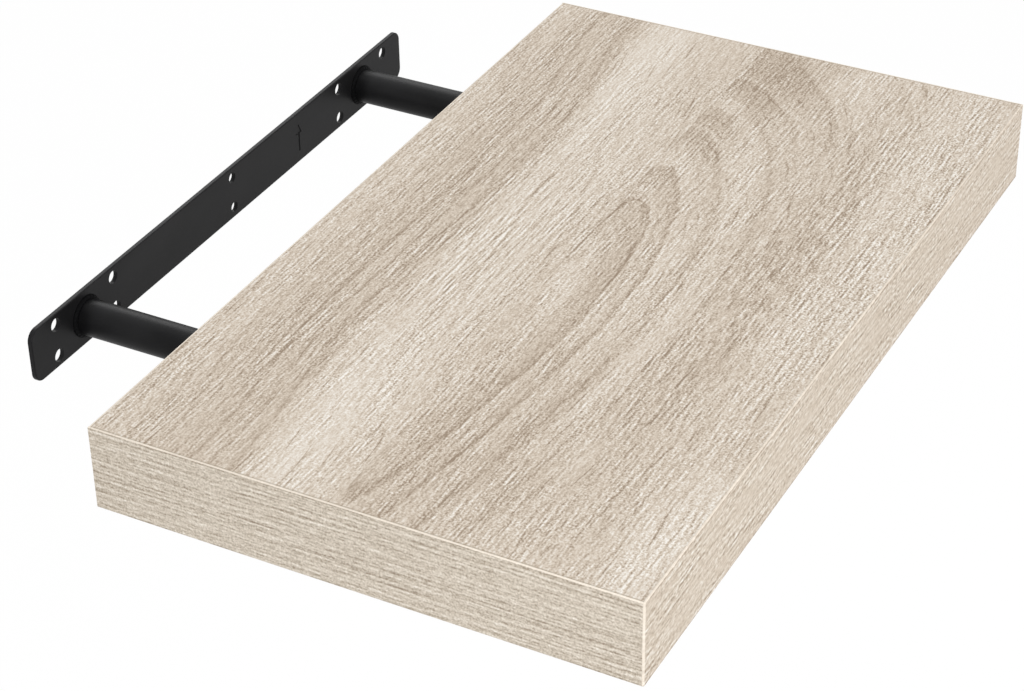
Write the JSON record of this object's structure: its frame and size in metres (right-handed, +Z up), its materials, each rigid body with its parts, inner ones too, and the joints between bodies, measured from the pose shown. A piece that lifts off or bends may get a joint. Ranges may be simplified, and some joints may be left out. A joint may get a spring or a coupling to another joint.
{
  "type": "wall shelf",
  "caption": "Floating wall shelf: a hollow wood-effect board that slides onto round rods standing out from a concealed flat steel wall plate.",
  "frame": {"origin": "centre of the wall plate's back face, where it lies against the wall", "axes": "+X along the wall to the right as seen from the room, +Y into the wall, +Z up; the board comes off towards -Y"},
  "size_m": [0.4, 0.3015, 0.038],
  "materials": {
    "black_steel": "fine matt black powder coat",
    "oak_laminate": "matt pale oak decor with an embossed grain",
    "oak_edge_band": "matt pale oak decor with a cream arris",
    "hardboard": "raw pressed fibre",
    "particle_board": "raw pressed chips",
    "paper_honeycomb": "raw brown paper"
  },
  "bodies": {
    "bracket": {"wall_plate": "black_steel", "left_rod": "black_steel", "right_rod": "black_steel", "left_rod_weld": "black_steel", "right_rod_weld": "black_steel"},
    "board": {"top_laminate": "oak_laminate", "bottom_laminate": "oak_laminate", "top_panel": "hardboard", "bottom_panel": "hardboard", "front_edge_band": "oak_edge_band", "left_edge_band": "oak_edge_band", "right_edge_band": "oak_edge_band", "rear_edge_band": "oak_edge_band", "front_rail": "particle_board", "rear_rail": "particle_board", "left_end_rail": "particle_board", "right_end_rail": "particle_board", "centre_stile": "particle_board", "left_rod_stile": "particle_board", "right_rod_stile": "particle_board", "left_outer_core": "paper_honeycomb", "left_inner_core": "paper_honeycomb", "right_inner_core": "paper_honeycomb", "right_outer_core": "paper_honeycomb"}
  },
  "joints": [
    {"name": "board_slide", "type": "slide", "parent": "bracket", "child": "board", "axis": [0, -1, 0], "range_m": [-0.0665, 0.08]}
  ]
}
